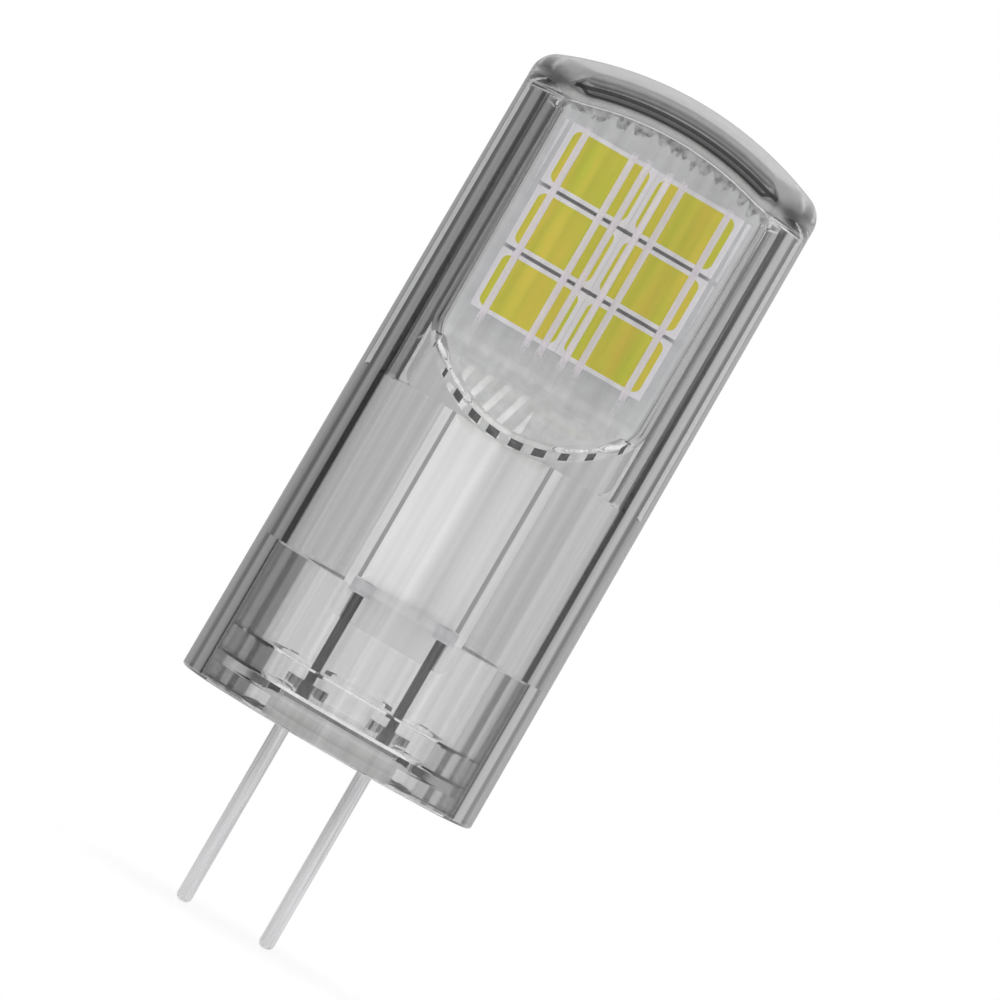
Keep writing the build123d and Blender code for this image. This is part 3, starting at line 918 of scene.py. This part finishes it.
def build_leds():
    """Three rows of two packages on each face: white trays filled with phosphor."""
    outer = rounded_loop(LED_WIDTH, LED_HEIGHT, LED_CORNER)
    lip = rounded_loop(TRAY_WIDTH, TRAY_HEIGHT, TRAY_CORNER)
    well = rounded_loop(TRAY_WIDTH - 2 * TRAY_SLOPE, TRAY_HEIGHT - 2 * TRAY_SLOPE, TRAY_FLOOR_CORNER)
    level = rounded_loop(TRAY_WIDTH - 2 * PHOSPHOR_CLIMB, TRAY_HEIGHT - 2 * PHOSPHOR_CLIMB,
                         PHOSPHOR_CORNER)
    floor = LED_THICKNESS - PHOSPHOR_DEPTH
    surface = LED_THICKNESS - PHOSPHOR_RECESS
    tray_loops = [(outer, 0), (outer, LED_THICKNESS), (lip, LED_THICKNESS), (well, floor)]
    fill_loops = [(well, floor), (lip, LED_THICKNESS), (level, surface)]
    for side_name, side in (("front", -1), ("back", 1)):
        for row in range(3):
            for column in range(2):
                centre = ((column - 0.5) * LED_COLUMN_PITCH, BOARD_FACE,
                          LED_CENTRE_HEIGHT - (row - 1) * LED_ROW_PITCH)
                tag = f"{side_name}_{row + 1}_{column + 1}"
                tray = new_piece(f"led_tray_{tag}", *stacked_loops(tray_loops, side, centre),
                                 finishes["led_package"])
                stand_for(outward(tray), "led_package", f"led_package_{tag}")
                fill = new_piece(f"led_fill_{tag}", *stacked_loops(fill_loops, side, centre),
                                 finishes["led_phosphor"])
                stand_for(outward(fill), "led_phosphor", f"led_phosphor_{tag}")


def build_floor():
    """Plain white floor under the pins' tips, with a faint shadow. It shows from above only."""
    material = principled("floor", Base_Color=(1, 1, 1, 1), Roughness=1.0, Specular_IOR_Level=0.0)
    nodes, links = material.node_tree.nodes, material.node_tree.links
    maths = sums_in(material.node_tree)
    x, y, _ = object_place(material)
    from_lamp = maths("SQRT", maths("ADD", maths("MULTIPLY", x, x), maths("MULTIPLY", y, y)))
    path = nodes.new("ShaderNodeLightPath")
    shown = maths("MAXIMUM", path.outputs["Is Camera Ray"],
                  maths("MAXIMUM", path.outputs["Is Glossy Ray"], path.outputs["Is Transmission Ray"]))
    white = maths("MULTIPLY", shown, ranged(material, from_lamp, FLOOR_WHITE, 1.0, *FLOOR_FADE))
    glow = nodes.new("ShaderNodeEmission")
    blend = nodes.new("ShaderNodeMixShader")
    links.new(white, blend.inputs[0])
    links.new(nodes["Principled BSDF"].outputs[0], blend.inputs[1])
    links.new(glow.outputs[0], blend.inputs[2])
    side = nodes.new("ShaderNodeNewGeometry")
    open_side = nodes.new("ShaderNodeBsdfTransparent")
    either = nodes.new("ShaderNodeMixShader")
    links.new(side.outputs["Backfacing"], either.inputs[0])
    links.new(blend.outputs[0], either.inputs[1])
    links.new(open_side.outputs[0], either.inputs[2])
    links.new(either.outputs[0], nodes["Material Output"].inputs["Surface"])
    azimuths = np.linspace(0, 2 * math.pi, 128, endpoint=False)
    rim = [tuple(point) for point in ring_row(FLOOR_RADIUS, -PIN_REACH - FLOOR_GAP, azimuths)]
    new_piece("floor", rim, [tuple(range(len(rim)))], material)


build_floor()
build_capsule()
build_ribs()
build_plug()
build_sealant()
build_pins()
build_leds()


def light_tent():
    """White surroundings: plain white behind the lamp, and a tent of pale and dark panels.

    The tent is what the clear plastic bends into view. Dull surfaces are lit evenly.
    """
    world = bpy.data.worlds.new("light_tent")
    bpy.context.scene.world = world
    world.use_nodes = True
    nodes, links = world.node_tree.nodes, world.node_tree.links
    nodes.clear()
    maths = sums_in(world.node_tree)

    def background(colour=None, strength=1.0):
        made = nodes.new("ShaderNodeBackground")
        if isinstance(strength, float):
            made.inputs["Strength"].default_value = strength
        else:
            links.new(strength, made.inputs["Strength"])
        if colour is None:
            made.inputs["Color"].default_value = (1, 1, 1, 1)
        else:
            links.new(colour, made.inputs["Color"])
        return made.outputs[0]

    def chosen(test, first, second):
        mix = nodes.new("ShaderNodeMixShader")
        links.new(test, mix.inputs[0])
        links.new(first, mix.inputs[1])
        links.new(second, mix.inputs[2])
        return mix.outputs[0]

    def panels(stops, position):
        ramp = nodes.new("ShaderNodeValToRGB")
        links.new(position, ramp.inputs[0])
        stretch = ramp.color_ramp
        while len(stretch.elements) < len(stops):
            stretch.elements.new(0.5)
        for element, (place, level) in zip(stretch.elements, stops):
            element.position = place
            element.color = (level, level, level, 1)
        return ramp.outputs["Color"]

    place = nodes.new("ShaderNodeTexCoord")
    split = nodes.new("ShaderNodeSeparateXYZ")
    links.new(place.outputs["Generated"], split.inputs[0])
    x, y, z = split.outputs
    turn = maths("ARCTAN2", maths("ABSOLUTE", x), maths("ABSOLUTE", y))
    round_about = maths("DIVIDE", turn, math.pi / 2)
    upward = maths("ABSOLUTE", z)
    lids = panels(TENT_LIDS, upward)
    path = nodes.new("ShaderNodeLightPath")
    depth = path.outputs["Transmission Depth"]
    side = maths("MULTIPLY_ADD", x, TENT_SLANT, 1.0)

    def roofed(walls):
        tent = nodes.new("ShaderNodeMix")
        tent.data_type = "RGBA"
        lid = maths("SMOOTH_MIN", maths("MULTIPLY", upward, TENT_LID_RISE), 1.0, TENT_LID_BLEND)
        links.new(lid, tent.inputs["Factor"])
        stops = [(degrees / 90, level) for degrees, level in walls]
        links.new(panels(stops, round_about), tent.inputs["A"])
        links.new(lids, tent.inputs["B"])
        return background(tent.outputs["Result"], side)

    mirrored = maths("LESS_THAN", depth, 0.5)
    straight = maths("MULTIPLY", maths("LESS_THAN", maths("MODULO", depth, CAPSULE_CROSSINGS), 0.5),
                     maths("GREATER_THAN", depth, 0.5))
    in_cavity = maths("GREATER_THAN", depth, 1.5 * CAPSULE_CROSSINGS)
    level = maths("MULTIPLY_ADD", in_cavity, TENT_CAVITY - TENT_BACK, TENT_BACK)
    lit = maths("GREATER_THAN", path.outputs["Diffuse Depth"], 0.5)
    bent = chosen(mirrored, roofed(TENT_WALLS), roofed(TENT_SHEEN))
    clear = chosen(straight, bent, background(strength=level))
    seen = chosen(lit, clear, background(strength=TENT_LIGHT))
    shown = chosen(path.outputs["Is Camera Ray"], seen, background())
    out = nodes.new("ShaderNodeOutputWorld")
    links.new(shown, out.inputs["Surface"])


def photo_camera():
    """Level camera square to the front window, turned so that the lamp leans as photographed."""
    data = bpy.data.cameras.new("camera")
    data.lens, data.sensor_width = LENS, SENSOR
    camera = bpy.data.objects.new("camera", data)
    bpy.context.collection.objects.link(camera)
    bpy.context.scene.camera = camera
    distance = PHOTO_WIDTH * LENS / SENSOR
    right = Vector((math.cos(PHOTO_LEAN), 0, math.sin(PHOTO_LEAN)))
    up = Vector((-math.sin(PHOTO_LEAN), 0, math.cos(PHOTO_LEAN)))
    back = Vector((0, -1, 0))
    turn = Matrix((right, up, back)).transposed()
    camera.matrix_world = Matrix.Translation(PHOTO_CENTRE + back * distance) @ turn.to_4x4()
    data.clip_start, data.clip_end = 0.01, 10.0


light_tent()
photo_camera()
bpy.context.scene.view_settings.view_transform = "Standard"
# Light that passes the plastic on its way to a dull surface keeps its strength
bpy.context.scene.cycles.blur_glossy = 0.0
